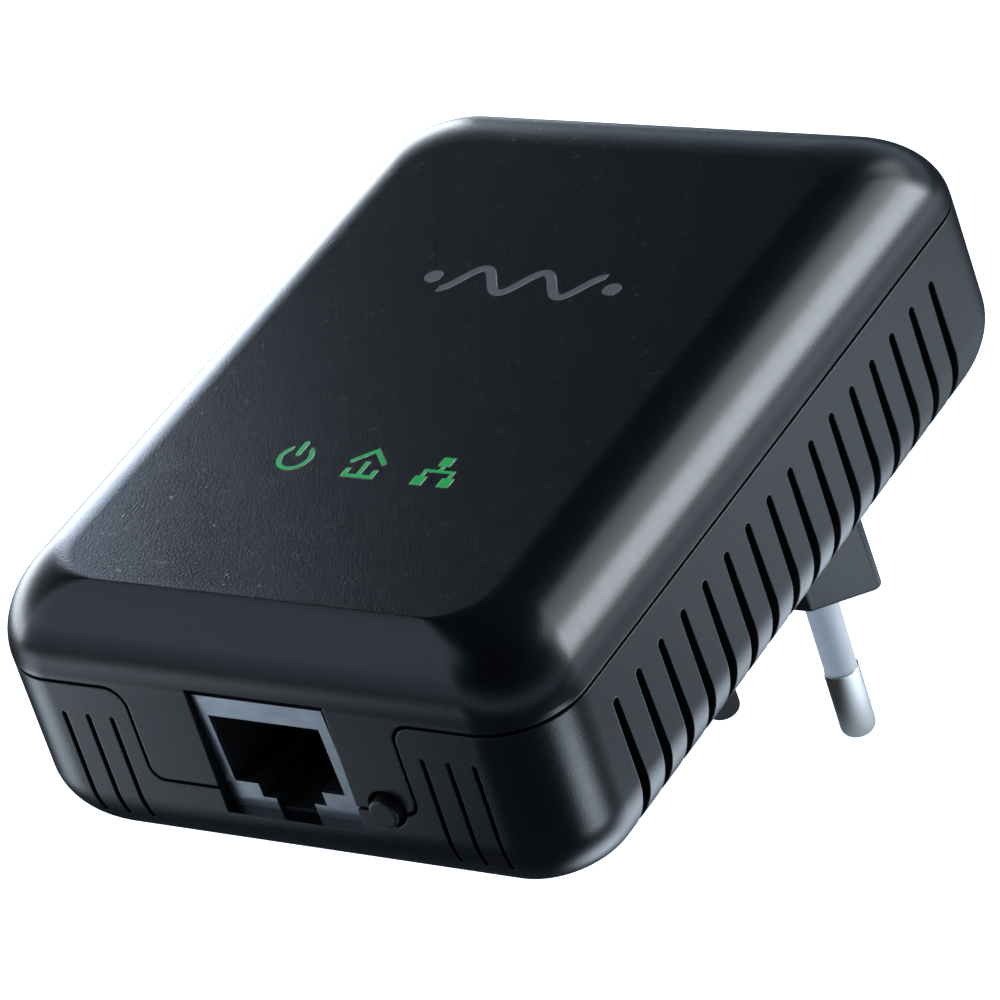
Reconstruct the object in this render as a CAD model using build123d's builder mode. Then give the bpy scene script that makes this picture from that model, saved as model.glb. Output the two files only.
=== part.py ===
from build123d import *
import os
from math import cos, radians, sin, sqrt, tan

# Plug-in powerline network adapter. Millimetres.
# Origin: middle of the plug face, halfway between the two pins.
# +Z runs out of the front face, away from the wall socket. -Y is the network socket end.

# ---- driving dimensions -------------------------------------------------------------------
BODY_W = 67.8            # across, along X
BODY_L = 91.5            # along Y, at the parting line
FAR_Y = 16.3             # far end, from the plug's middle
BACK_Z = 21.2            # flat back of the case, above the plug face
SPLIT_Z = 43.2           # parting line
FRONT_Z = 52.4           # flat front
WALL = 2.0
SEAM = 0.4               # visible gap at the parting line

CORNER_R = 8.4           # plan corners at the parting line
CORNER_TIP_R = 6.0       # plan corners where the roundings meet the flats
SIDE_ROUND = 8.9         # front rounding along the long sides
FAR_ROUND = 11.3         # front rounding over the far end
NEAR_ARC = 10.5          # front curve over the socket end, stops short in a crease
BACK_ROUND = 9.0         # rounding of the back edges
NEAR_DRAFT = 3.0         # degrees, socket end leans outward toward the back
ROUND_STEPS = 6

TONGUE_HALF_W = 16.1     # cover tongue that carries the network socket
TONGUE_Z = 32.35
TONGUE_TOP_R = 2.3
TONGUE_LOW_R = 1.6
TONGUE_DEPTH = WALL + 0.6
LIP_DROP = 2.5           # inner lip of the rear shell, below and above the parting line
LIP_RISE = 1.5
LIP_INSET = WALL + 0.9
SLOT_COUNT = 16          # cooling slots on each long side
SLOT_PITCH = 4.437
SLOT_FIRST_Y = -63.8
SLOT_TOP_Z = 39.5
SLOT_TOP_W = 1.05
SLOT_LOW_W = 1.55
SLOT_TAPER_Z = 27.0      # below this height a slot keeps its width
SLOT_IN_X = 25.5         # slots wrap around the back edge as far in as this
GROOVE_X = (18.7, 21.7, 24.7)
GROOVE_W = 0.6
GROOVE_LOW_Z = 26.6
GROOVE_DEPTH = 1.3

BOSS_FLAT_X = 12.8       # six-sided plug boss, half length of its flats
BOSS_TIP_X = 17.65
BOSS_HALF_D = 6.85
BOSS_WALL = 1.8
BOSS_FLOOR = 4.0
PIN_BLOCK_H = 9.0
PIN_X = 9.36             # pin axis at the plug face
PIN_TILT = 1.65          # degrees, pins converge toward their tips
PIN_R = 2.0
SLEEVE_ROOT_R = 1.92     # insulating sleeve tapers a little toward the metal tip
SLEEVE_END_R = 1.84
CORE_R = 1.5
PIN_HEAD_R = 2.5
PIN_HEAD_T = 1.2
RELIEF_R = 2.4           # shallow ring around each pin in the plug face
RELIEF_DEPTH = 0.4
FIT_GAP = 0.02           # between a pin, its sleeve and what holds them
SLEEVE_L = 12.1
TIP_L = 9.0
PIN_IN = 15.0            # how far a pin reaches up inside the boss

BOARD_Z = 29.3           # component face of the board
BOARD_T = 1.6
JACK_W = 15.8
JACK_H = 14.0
JACK_FRONT_Y = -74.65
JACK_L = 21.0
JACK_WALL = 0.4
PORT_W = 13.3
PORT_LOW_Z = 32.55
PORT_TOP_Z = 40.85
LATCH_W, LATCH_Z = 7.7, 30.85
CATCH_W = 4.6
PORT_DEPTH = 15.5

RECESS_X = 0.35          # opening around the network socket
RECESS_W = 16.7
RECESS_LOW_Z = 29.45
RECESS_TOP_Z = 44.25
OPENING_Y = -80.0        # openings in the socket end are cut from here, inward
OPENING_L = 9.0

BUTTON_X, BUTTON_Z = 12.45, 32.7
BUTTON_R = 1.65
BUTTON_HOLE_R = 2.15
BUTTON_FACE_Y = -76.75
BUTTON_BACK_Y = -71.3
BUTTON_TRAVEL = 0.5
PLUNGER_R = 0.9

ICON_Y = -48.85
ICON_X = {"power": -8.2, "home": 0.5, "network": 9.3}
SCREWS = [(x, y) for x in (-21.3, 21.3) for y in (-62.5, 4.6)]
POST_R = 3.3
POST_TOP_Z = 31.0        # rear posts meet the cover's posts here
SCREW_SEAT_Z = 26.5
SCREW_R = 1.4
SCREW_L = 12.0
SCREW_HEAD_R = 2.5
SCREW_HEAD_T = 1.6
SEAT_R = 2.6

NEAR_Y = FAR_Y - BODY_L
BOARD_LOW = BOARD_Z - BOARD_T
HALF_W = BODY_W / 2
INNER_FRONT = FRONT_Z - WALL
INNER_BACK = BACK_Z + WALL
MID_Y = (NEAR_Y + FAR_Y) / 2

os.makedirs("parts", exist_ok=True)


def save(part, label):
    """Name a finished piece and write it as its own STEP file."""
    part.label = label
    export_step(part, f"parts/{label}.step")
    print(f"{label:26s} {len(part.solids()):2d} solid(s) {part.volume:10.1f} mm3")


# ---- case outline --------------------------------------------------------------------------
def near_y(z):
    """Socket-end face at height z below the parting line."""
    return NEAR_Y - (SPLIT_Z - z) * tan(radians(NEAR_DRAFT))


def blend(levels):
    """Loft through (z, side inset, near y, far y, corner radius) outlines."""
    with BuildPart() as body:
        for z, side, near, far, radius in levels:
            with BuildSketch(Plane.XY.offset(z)):
                with Locations((0, (near + far) / 2)):
                    RectangleRounded(BODY_W - 2 * side, far - near, radius)
        loft()
    return body.part


def case_solid(inset):
    """The whole case as one solid, every face moved inward by inset."""
    steps = [radians(90 * step / ROUND_STEPS) for step in range(ROUND_STEPS + 1)]
    front = []
    for angle in steps:
        rise = (FRONT_Z - SPLIT_Z - inset) * sin(angle)
        turn = 1 - cos(angle)
        arc = NEAR_ARC - inset
        front.append((
            SPLIT_Z + rise,
            inset + (SIDE_ROUND - inset) * turn,
            NEAR_Y + inset + arc - sqrt(arc**2 - rise**2),
            FAR_Y - inset - (FAR_ROUND - inset) * turn,
            CORNER_R - inset + (CORNER_TIP_R - CORNER_R) * turn,
        ))
    back = []
    for angle in steps:
        radius = BACK_ROUND - inset
        z = BACK_Z + BACK_ROUND - radius * sin(angle)
        turn = radius * (1 - cos(angle))
        back.append((
            z,
            inset + turn,
            near_y(z) + inset + turn,
            FAR_Y - inset - turn,
            CORNER_R - inset + (CORNER_TIP_R - CORNER_R) * (1 - cos(angle)),
        ))
    with BuildPart() as body:
        add(blend(front))
        add(blend([back[0], front[0]]))
        add(blend(back[::-1]))
    return body.part


def cover_zone(gap):
    """Space that belongs to the front cover, grown by gap: all above the parting line and the tongue."""
    with BuildPart() as zone:
        with BuildSketch(Plane.XZ.offset(-NEAR_Y - TONGUE_DEPTH)) as face:
            with Locations((0, SPLIT_Z + 20)):
                Rectangle(BODY_W + 10, 40)
            with Locations((0, (TONGUE_Z + SPLIT_Z) / 2 + 1)):
                Rectangle(2 * TONGUE_HALF_W, SPLIT_Z - TONGUE_Z + 2)
            fillet([v for v in face.vertices() if abs(v.Y - SPLIT_Z) < 0.01 and abs(v.X) < HALF_W - 5], radius=TONGUE_TOP_R)
            fillet([v for v in face.vertices() if abs(v.Y - TONGUE_Z) < 0.01], radius=TONGUE_LOW_R)
            if gap:
                offset(amount=gap)
        extrude(amount=8)
        with BuildSketch(Plane.XY.offset(SPLIT_Z - gap)):
            with Locations((0, MID_Y + 10)):
                Rectangle(BODY_W + 10, BODY_L + 20 - TONGUE_DEPTH)
        extrude(amount=40)
    return zone.part


def ring(low_z, high_z, outer, inner):
    """Upright band that follows the case wall between two insets."""
    with BuildPart() as band:
        with BuildSketch(Plane.XY.offset(low_z)):
            with Locations((0, MID_Y)):
                RectangleRounded(BODY_W - 2 * outer, BODY_L - 2 * outer, CORNER_R - outer)
                RectangleRounded(BODY_W - 2 * inner, BODY_L - 2 * inner, CORNER_R - inner, mode=Mode.SUBTRACT)
        extrude(amount=high_z - low_z)
    return band.part


# ---- sketches shared by the cover and the light guides ----------------------------------------
def power_icon():
    """Open ring with a bar in its gap."""
    with BuildSketch(Plane.XY) as icon:
        Circle(2.0)
        Circle(1.5, mode=Mode.SUBTRACT)
        with Locations((0, 1.6)):
            Rectangle(2.1, 2.2, mode=Mode.SUBTRACT)
        with Locations((0, 1.45)):
            SlotOverall(2.3, 0.55, rotation=90)
    return icon.sketch


def home_icon():
    """Roof over an open-topped box with a mast."""
    with BuildSketch(Plane.XY) as icon:
        with BuildLine():
            Polyline((-2.05, 0.2), (0, 2.2), (2.05, 0.2))
        trace(line_width=0.5)
        with BuildLine():
            Polyline((-1.65, -0.75), (-1.65, -1.85), (1.65, -1.85), (1.65, -0.75))
        trace(line_width=0.5)
        with BuildLine():
            Line((0, -1.85), (0, 0.45))
        trace(line_width=0.5)
    return icon.sketch


def network_icon():
    """One square joined to two below it."""
    with BuildSketch(Plane.XY) as icon:
        with Locations((0, 1.5), (-1.6, -1.6), (1.6, -1.6)):
            Rectangle(1.35, 1.35)
        with BuildLine():
            Polyline((-1.6, -1.3), (-1.6, 0), (1.6, 0), (1.6, -1.3))
        trace(line_width=0.4)
        with BuildLine():
            Line((0, 0), (0, 1.2))
        trace(line_width=0.4)
    return icon.sketch


ICONS = {"power": power_icon(), "home": home_icon(), "network": network_icon()}


def place_icon(name, z):
    """An icon's outline moved to its place on the front, at height z."""
    return Location((ICON_X[name], ICON_Y, z)) * ICONS[name]


def port_outline():
    """Network socket opening with its two-step latch notch, in the XZ plane."""
    with Locations((0, (PORT_LOW_Z + PORT_TOP_Z) / 2)):
        Rectangle(PORT_W, PORT_TOP_Z - PORT_LOW_Z)
    with Locations((0, (LATCH_Z + PORT_LOW_Z) / 2 + 0.5)):
        Rectangle(LATCH_W, PORT_LOW_Z - LATCH_Z + 1)
    with Locations((0, LATCH_Z)):
        Rectangle(CATCH_W, 2 * (LATCH_Z - BOARD_Z))


def pin_plane(side):
    """Plane at a pin's root, its normal running down the pin to the tip."""
    lean = radians(PIN_TILT)
    return Plane(origin=(side * PIN_X, 0, 0), x_dir=(0, 1, 0), z_dir=(-side * sin(lean), 0, -cos(lean)))


# ---- case --------------------------------------------------------------------------------------
OUTER = case_solid(0)
INNER = case_solid(WALL)

with BuildPart() as front_cover:
    add(OUTER)
    add(INNER, mode=Mode.SUBTRACT)
    add(cover_zone(-SEAM / 2), mode=Mode.INTERSECT)
    # opening around the network socket
    with BuildSketch(Plane.XZ.offset(-OPENING_Y)):
        with Locations((RECESS_X, (RECESS_LOW_Z + RECESS_TOP_Z) / 2)):
            Rectangle(RECESS_W, RECESS_TOP_Z - RECESS_LOW_Z)
        with Locations((BUTTON_X, BUTTON_Z)):
            Circle(BUTTON_HOLE_R)
    extrude(amount=-OPENING_L, mode=Mode.SUBTRACT)
    # screw posts with pilot holes
    with BuildSketch(Plane.XY.offset(POST_TOP_Z)):
        with Locations(SCREWS):
            Circle(POST_R - 0.3)
    extrude(amount=INNER_FRONT - POST_TOP_Z + 0.5)
    with BuildSketch(Plane.XY.offset(POST_TOP_Z)):
        with Locations(SCREWS):
            Circle(SCREW_R)
    extrude(amount=SCREW_L, mode=Mode.SUBTRACT)
    for name in ICONS:
        extrude(place_icon(name, FRONT_Z - WALL - 1), amount=WALL + 2, dir=(0, 0, 1), mode=Mode.SUBTRACT)
save(front_cover.part, "front_cover")

with BuildPart() as slot_cutter:
    with BuildSketch(Plane.YZ.offset(SLOT_IN_X)) as slots:
        for index in range(SLOT_COUNT):
            y = SLOT_FIRST_Y + index * SLOT_PITCH
            with BuildLine():
                low, top = SLOT_LOW_W / 2, SLOT_TOP_W / 2
                Polyline((y - top, SLOT_TOP_Z - top), (y - low, SLOT_TAPER_Z), (y - low, BACK_Z - 1),
                         (y + low, BACK_Z - 1), (y + low, SLOT_TAPER_Z), (y + top, SLOT_TOP_Z - top))
                ThreePointArc((y - top, SLOT_TOP_Z - top), (y, SLOT_TOP_Z), (y + top, SLOT_TOP_Z - top))
            make_face()
    extrude(amount=HALF_W - SLOT_IN_X + 2)
    mirror(about=Plane.YZ)


def boss_outline(shrink):
    """Six-sided plug boss outline, its sides moved inward by shrink."""
    tip, flat, deep = BOSS_TIP_X - shrink * 1.2, BOSS_FLAT_X - shrink * 0.5, BOSS_HALF_D - shrink
    corners = [(-tip, 0), (-flat, -deep), (flat, -deep), (tip, 0), (flat, deep), (-flat, deep)]
    with BuildSketch(Plane.XY) as outline:
        Polygon(*corners, align=None)
        fillet([v for v in outline.vertices() if abs(v.Y) > 1], radius=2.5)
        fillet([v for v in outline.vertices() if abs(v.Y) < 0.1], radius=0.7)
    return outline.sketch


with BuildPart() as rear_shell:
    add(OUTER)
    add(INNER, mode=Mode.SUBTRACT)
    # inner lip that closes the seam, and the apron behind the cover's tongue
    add(ring(SPLIT_Z - LIP_DROP, SPLIT_Z - SEAM / 2, WALL - 0.2, LIP_INSET))
    add(cover_zone(SEAM / 2), mode=Mode.SUBTRACT)
    add(slot_cutter.part, mode=Mode.SUBTRACT)
    add(ring(SPLIT_Z - SEAM / 2, SPLIT_Z + LIP_RISE, WALL + 0.35, LIP_INSET))
    with BuildSketch(Plane.XZ.offset(-NEAR_Y - LIP_INSET)):
        with Locations((0, (TONGUE_Z + SPLIT_Z) / 2 - 1)):
            Rectangle(2 * TONGUE_HALF_W + 3, SPLIT_Z - TONGUE_Z + 5)
    extrude(amount=0.65)
    # room for the socket and the button
    with BuildSketch(Plane.XZ.offset(-OPENING_Y)):
        with Locations((RECESS_X, (RECESS_LOW_Z + RECESS_TOP_Z) / 2)):
            Rectangle(RECESS_W, RECESS_TOP_Z - RECESS_LOW_Z + 1)
        with Locations((BUTTON_X, BUTTON_Z)):
            Circle(BUTTON_HOLE_R)
    extrude(amount=-OPENING_L, mode=Mode.SUBTRACT)
    # grooves beside the tongue
    for side in (-1, 1):
        for x in GROOVE_X:
            with BuildSketch(Plane.XZ.offset(-NEAR_Y - GROOVE_DEPTH + 0.6)):
                with Locations((side * x, (SLOT_TOP_Z + GROOVE_LOW_Z) / 2)):
                    SlotOverall(SLOT_TOP_Z - GROOVE_LOW_Z, GROOVE_W, rotation=90)
            extrude(amount=5, mode=Mode.SUBTRACT)
    # plug boss, hollow above its floor
    extrude(boss_outline(0), amount=BACK_Z + 0.5, dir=(0, 0, 1))
    extrude(Plane.XY.offset(BOSS_FLOOR) * boss_outline(BOSS_WALL), amount=INNER_BACK, dir=(0, 0, 1),
            mode=Mode.SUBTRACT)
    for side in (-1, 1):
        with BuildSketch(pin_plane(side).offset(1)):
            Circle(SLEEVE_ROOT_R + FIT_GAP)
        extrude(amount=-(BOSS_FLOOR + 2), mode=Mode.SUBTRACT)
        with BuildSketch(Plane.XY):
            with Locations((side * PIN_X, 0)):
                Circle(RELIEF_R)
        extrude(amount=RELIEF_DEPTH, mode=Mode.SUBTRACT)
    # screw seats
    with BuildSketch(Plane.XY.offset(BACK_Z + 0.5)):
        with Locations(SCREWS):
            Circle(POST_R)
    extrude(amount=POST_TOP_Z - BACK_Z - 0.5)
    with BuildSketch(Plane.XY.offset(BACK_Z - 1)):
        with Locations(SCREWS):
            Circle(SEAT_R)
    extrude(amount=SCREW_SEAT_Z - BACK_Z + 1, mode=Mode.SUBTRACT)
    with BuildSketch(Plane.XY.offset(BACK_Z)):
        with Locations(SCREWS):
            Circle(SCREW_R + 0.15)
    extrude(amount=12, mode=Mode.SUBTRACT)
    # rests under the board
    with BuildSketch(Plane.XY.offset(INNER_BACK - 0.5)):
        with Locations([(x, y) for x in (-26.5, 26.5) for y in (-44, -12)]):
            Rectangle(2, 7)
    extrude(amount=BOARD_LOW - INNER_BACK + 0.5)
save(rear_shell.part, "rear_shell")

with BuildPart() as housing_screws:
    with BuildSketch(Plane.XY.offset(SCREW_SEAT_Z - SCREW_HEAD_T)):
        with Locations(SCREWS):
            Circle(SCREW_HEAD_R)
    extrude(amount=SCREW_HEAD_T)
    fillet(housing_screws.edges().group_by(Axis.Z)[0], radius=0.6)
    with BuildSketch(Plane.XY.offset(SCREW_SEAT_Z)):
        with Locations(SCREWS):
            Circle(SCREW_R)
    extrude(amount=SCREW_L)
    with BuildSketch(Plane.XY.offset(SCREW_SEAT_Z - SCREW_HEAD_T)):
        with Locations(SCREWS):
            Rectangle(3, 0.6)
            Rectangle(0.6, 3)
    extrude(amount=1.1, mode=Mode.SUBTRACT)
save(housing_screws.part, "housing_screws")

# ---- plug ----------------------------------------------------------------------------------------
with BuildPart() as pin_block:
    extrude(Plane.XY.offset(BOSS_FLOOR) * boss_outline(BOSS_WALL + 0.1), amount=PIN_BLOCK_H, dir=(0, 0, 1))
    for side in (-1, 1):
        with BuildSketch(pin_plane(side).offset(2)):
            Circle(CORE_R + FIT_GAP)
        extrude(amount=-PIN_IN - 4, mode=Mode.SUBTRACT)
save(pin_block.part, "pin_block")

for side, pole in ((-1, "neutral"), (1, "line")):
    root = pin_plane(side)
    with BuildPart() as pin:
        with BuildSketch(root.offset(SLEEVE_L)):
            Circle(PIN_R)
        extrude(amount=TIP_L)
        fillet(pin.edges().sort_by(Axis.Z)[0], radius=1.1)
        with BuildSketch(root.offset(-PIN_IN)):
            Circle(CORE_R)
        extrude(amount=PIN_IN + SLEEVE_L)
        with BuildSketch(root.offset(-PIN_IN)):
            Circle(PIN_HEAD_R)
        extrude(amount=PIN_HEAD_T)
    save(pin.part, f"pin_{pole}")

    with BuildPart() as sleeve:
        with BuildSketch(root.offset(-BOSS_FLOOR + 0.2)):
            Circle(SLEEVE_ROOT_R)
        with BuildSketch(root.offset(SLEEVE_L)):
            Circle(SLEEVE_END_R)
        loft()
        with BuildSketch(root.offset(-BOSS_FLOOR)):
            Circle(CORE_R + FIT_GAP)
        extrude(amount=SLEEVE_L + BOSS_FLOOR + 1, mode=Mode.SUBTRACT)
    save(sleeve.part, f"pin_sleeve_{pole}")

    with BuildPart() as lead:
        with BuildSketch(Plane.XY.offset(PIN_IN + 0.1)):
            with Locations((side * (PIN_X + PIN_IN * tan(radians(PIN_TILT))), 0)):
                Rectangle(0.8, 3.6)
        extrude(amount=BOARD_LOW - PIN_IN - 0.1)
    save(lead.part, f"mains_lead_{pole}")

# ---- network socket --------------------------------------------------------------------------------
JACK_REAR_Y = JACK_FRONT_Y + JACK_L
WIRE = 0.35
WIRE_X = [1.02 * (index - 3.5) for index in range(8)]
LEAD_Z = 41.9
BEND_Y = JACK_FRONT_Y + 2.3
SPRING_Z = 41.6
SPRING_DROP = 18.0       # degrees, contacts slope down into the socket
SPRING_L = 11.0
INSERT_FLOOR = 0.35

with BuildPart() as jack_shield:
    with BuildSketch(Plane.XZ.offset(-JACK_REAR_Y)):
        with Locations((0, BOARD_Z + JACK_H / 2)):
            Rectangle(JACK_W, JACK_H)
    extrude(amount=JACK_L)
    with BuildSketch(Plane.XZ.offset(-JACK_REAR_Y + JACK_WALL)):
        with Locations((0, BOARD_Z + (JACK_H - JACK_WALL) / 2)):
            Rectangle(JACK_W - 2 * JACK_WALL, JACK_H - JACK_WALL)
    extrude(amount=JACK_L - 2 * JACK_WALL, mode=Mode.SUBTRACT)
    with BuildSketch(Plane.XZ.offset(-JACK_FRONT_Y + 1)):
        port_outline()
    extrude(amount=-2, mode=Mode.SUBTRACT)
save(jack_shield.part, "jack_shield")

with BuildPart() as jack_contact_leads:
    for x in WIRE_X:
        with Locations((x, (BEND_Y + JACK_REAR_Y - 2) / 2, LEAD_Z + WIRE / 2)):
            Box(WIRE, JACK_REAR_Y - 2 - BEND_Y, WIRE)
        with Locations((x, JACK_REAR_Y - 2 - WIRE / 2, (BOARD_Z + LEAD_Z + WIRE) / 2)):
            Box(WIRE, WIRE, LEAD_Z + WIRE - BOARD_Z)
save(jack_contact_leads.part, "jack_contact_leads")

with BuildPart() as jack_insert:
    with BuildSketch(Plane.XZ.offset(-JACK_REAR_Y + JACK_WALL)):
        with Locations((0, BOARD_Z + (JACK_H - JACK_WALL) / 2)):
            Rectangle(JACK_W - 2 * JACK_WALL, JACK_H - JACK_WALL)
    extrude(amount=JACK_L - 2 * JACK_WALL)
    with BuildSketch(Plane.XZ.offset(-JACK_FRONT_Y)):
        port_outline()
    extrude(amount=-PORT_DEPTH, mode=Mode.SUBTRACT)
    # pocket above the contacts, behind a front bar
    with Locations((0, (BEND_Y + JACK_FRONT_Y + PORT_DEPTH - 0.3) / 2, PORT_TOP_Z)):
        Box(10, JACK_FRONT_Y + PORT_DEPTH - BEND_Y + 0.3, 3.0, mode=Mode.SUBTRACT)
    # thin floor under the latch notch
    with Locations((0, JACK_FRONT_Y + (JACK_WALL + PORT_DEPTH) / 2, BOARD_Z + INSERT_FLOOR / 2)):
        Box(CATCH_W + 1, PORT_DEPTH - JACK_WALL, INSERT_FLOOR)
    add(jack_contact_leads.part, mode=Mode.SUBTRACT)
save(jack_insert.part, "jack_insert")

with BuildPart() as jack_contact_springs:
    for x in WIRE_X:
        with BuildSketch(Plane.YZ.offset(x - WIRE / 2)):
            with BuildLine():
                fall, run = SPRING_L * sin(radians(SPRING_DROP)), SPRING_L * cos(radians(SPRING_DROP))
                Polyline((BEND_Y, SPRING_Z), (BEND_Y + run, SPRING_Z - fall),
                         (BEND_Y + run, SPRING_Z - fall - WIRE), (BEND_Y, SPRING_Z - WIRE), close=True)
            make_face()
        extrude(amount=WIRE)
save(jack_contact_springs.part, "jack_contact_springs")

# ---- button ------------------------------------------------------------------------------------------
SWITCH_FRONT_Y = BUTTON_BACK_Y + 1.4


def barrel(front_y, back_y, radius, mode=Mode.ADD):
    """Round bar along Y on the button's axis, added to the current part."""
    with BuildSketch(Plane(origin=(BUTTON_X, front_y, BUTTON_Z), x_dir=(1, 0, 0), z_dir=(0, 1, 0))) as disc:
        Circle(radius)
    extrude(disc.sketch, amount=back_y - front_y, dir=(0, 1, 0), mode=mode)


with BuildPart() as button_cap:
    barrel(BUTTON_FACE_Y, BUTTON_BACK_Y, BUTTON_R)
    fillet(button_cap.edges().sort_by(Axis.Y)[0], radius=0.3)
    barrel(BUTTON_BACK_Y - 0.8, BUTTON_BACK_Y, BUTTON_R + 1.05)
save(button_cap.part, "button_cap")

with BuildPart() as switch_plunger:
    barrel(BUTTON_BACK_Y + 0.05, SWITCH_FRONT_Y + 1.0, PLUNGER_R)
save(switch_plunger.part, "switch_plunger")

with BuildPart() as switch_body:
    with Locations((BUTTON_X, SWITCH_FRONT_Y + 1.75, BOARD_Z + 3.2)):
        Box(6, 3.5, 6.4)
    chamfer(switch_body.edges().filter_by(Axis.Y), length=0.4)
    barrel(SWITCH_FRONT_Y - 1, SWITCH_FRONT_Y + 1.8, PLUNGER_R + 0.05, mode=Mode.SUBTRACT)
save(switch_body.part, "switch_body")

# ---- lights -------------------------------------------------------------------------------------------
LED_H = 1.1
for name, x in ICON_X.items():
    with BuildPart() as guide:
        with BuildSketch(Plane.XY.offset(INNER_FRONT - 1)):
            with Locations((x, ICON_Y)):
                RectangleRounded(6.6, 6.6, 1)
        extrude(amount=1)
        extrude(place_icon(name, INNER_FRONT), amount=WALL, dir=(0, 0, 1))
        with BuildSketch(Plane.XY.offset(BOARD_Z + LED_H + 0.2)):
            with Locations((x, ICON_Y)):
                Circle(1.6)
        extrude(amount=INNER_FRONT - 1 - BOARD_Z - LED_H - 0.2)
    save(guide.part, f"light_guide_{name}")

    with BuildPart() as led:
        with Locations((x, ICON_Y, BOARD_Z + LED_H / 2)):
            Box(3.4, 2.8, LED_H)
        with BuildSketch(Plane.XY.offset(BOARD_Z + LED_H)):
            with Locations((x, ICON_Y)):
                Circle(1.1)
        extrude(amount=-0.4, mode=Mode.SUBTRACT)
    save(led.part, f"led_{name}")

# ---- board and what stands on it -------------------------------------------------------------------------
BOARD_NEAR_Y, BOARD_FAR_Y = -71.0, 12.0

with BuildPart() as main_board:
    with BuildSketch(Plane.XY.offset(BOARD_LOW)):
        with Locations((0, (BOARD_NEAR_Y + BOARD_FAR_Y) / 2)):
            RectangleRounded(58, BOARD_FAR_Y - BOARD_NEAR_Y, 3)
        with Locations(SCREWS):
            Circle(POST_R + 0.2, mode=Mode.SUBTRACT)
    extrude(amount=BOARD_T)
save(main_board.part, "main_board")

with BuildPart() as insulating_sheet:
    with BuildSketch(Plane.XY.offset(BOARD_LOW - 0.4)):
        with Locations((0, -6)):
            RectangleRounded(48, 34, 2)
        with Locations([SCREWS[1], SCREWS[3]]):
            Circle(POST_R + 0.4, mode=Mode.SUBTRACT)
        with Locations((-9.8, 0), (9.8, 0)):
            Rectangle(3, 6, mode=Mode.SUBTRACT)
    extrude(amount=0.4)
save(insulating_sheet.part, "insulating_sheet")


def chip(label, x, y, width, length, height, legs, base_z=BOARD_Z):
    """Moulded package with rows of flat legs along both long sides."""
    with BuildPart() as body:
        with Locations((x, y, base_z + height / 2 + 0.1)):
            Box(width, length, height)
        chamfer(body.edges().group_by(Axis.Z)[-1], length=min(0.5, height / 3))
        pitch = length / legs
        for side in (-1, 1):
            for index in range(legs):
                with Locations((x + side * (width / 2 + 0.4), y + pitch * (index - (legs - 1) / 2), base_z + 0.25)):
                    Box(1.2, pitch * 0.5, 0.5)
    save(body.part, label)


def can(label, x, y, radius, height):
    """Upright electrolytic capacitor: crimp groove low down, scored vent on top."""
    with BuildPart() as body:
        with BuildSketch(Plane.XY.offset(BOARD_Z)):
            with Locations((x, y)):
                Circle(radius)
        extrude(amount=height)
        fillet(body.edges().group_by(Axis.Z)[-1], radius=0.8)
        with BuildSketch(Plane.XY.offset(BOARD_Z + 1.6)):
            with Locations((x, y)):
                Circle(radius + 1)
                Circle(radius - 0.4, mode=Mode.SUBTRACT)
        extrude(amount=0.8, mode=Mode.SUBTRACT)
        with BuildSketch(Plane.XY.offset(BOARD_Z + height)):
            with Locations((x, y)):
                Rectangle(radius * 1.2, 0.3)
                Rectangle(0.3, radius * 1.2)
        extrude(amount=-0.25, mode=Mode.SUBTRACT)
    save(body.part, label)


def toroid(x, y, radius, section_r, centre_z):
    """Upright ring, its axis along X."""
    with BuildPart() as body:
        with BuildSketch(Plane(origin=(x, y, centre_z), x_dir=(1, 0, 0), z_dir=(0, -1, 0))):
            with Locations((0, radius)):
                RectangleRounded(section_r * 2.2, section_r * 2, section_r * 0.4)
        revolve(axis=Axis((x, y, centre_z), (1, 0, 0)))
    return body.part


chip("powerline_chip", -14, -35, 14, 14, 1.4, 16)
chip("memory_chip", 14.5, -34, 8, 11, 1.1, 9)
chip("flash_chip", 22.5, -46, 4, 5, 1.6, 4)
chip("lan_transformer", 18.5, -53, 7, 9, 5.0, 8)
chip("power_controller", 24, -20, 6.4, 9, 3.3, 4)
chip("optocoupler", 6.5, -24, 6.4, 4.6, 3.3, 2)
chip("bridge_rectifier", -24.2, -16, 6, 8, 2.6, 2)

with BuildPart() as heat_sink:
    top = BOARD_Z + 1.5
    with Locations((-14, -35, top + 0.75)):
        Box(15, 15, 1.5)
    with Locations([(-14 + 2.3 * (index - 3), -35, top + 4.25) for index in range(7)]):
        Box(0.9, 15, 5.5)
save(heat_sink.part, "heat_sink")

can("bulk_capacitor", 3.5, -12.5, 5, 17)
can("bulk_capacitor_2", 14.5, -12.5, 5, 17)
can("output_capacitor", -3, -24.5, 4, 12)

TRANSFORMER = (-10.5, -13)

with BuildPart() as transformer_bobbin:
    with BuildSketch(Plane.XY.offset(BOARD_Z + 1.9)):
        with Locations(TRANSFORMER):
            RectangleRounded(14, 13, 1)
    extrude(amount=8.4)
    with BuildSketch(Plane.XY.offset(BOARD_Z + 2.9)):
        with Locations(TRANSFORMER):
            RectangleRounded(15, 14, 1)
            RectangleRounded(12, 11.4, 2, mode=Mode.SUBTRACT)
    extrude(amount=6.4, mode=Mode.SUBTRACT)
save(transformer_bobbin.part, "transformer_bobbin")

with BuildPart() as transformer_core:
    with BuildSketch(Plane.XZ.offset(-TRANSFORMER[1] - 2.5)):
        with Locations((TRANSFORMER[0], BOARD_Z + 6.1)):
            Rectangle(17.6, 12.2)
            Rectangle(14.1, 8.4, mode=Mode.SUBTRACT)
    extrude(amount=5)
save(transformer_core.part, "transformer_core")

with BuildPart() as film_capacitor:
    with Locations((0, 8, BOARD_Z + 5.5)):
        Box(17, 6, 11)
    chamfer(film_capacitor.edges().filter_by(Axis.Z), length=0.5)
save(film_capacitor.part, "film_capacitor")

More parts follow.
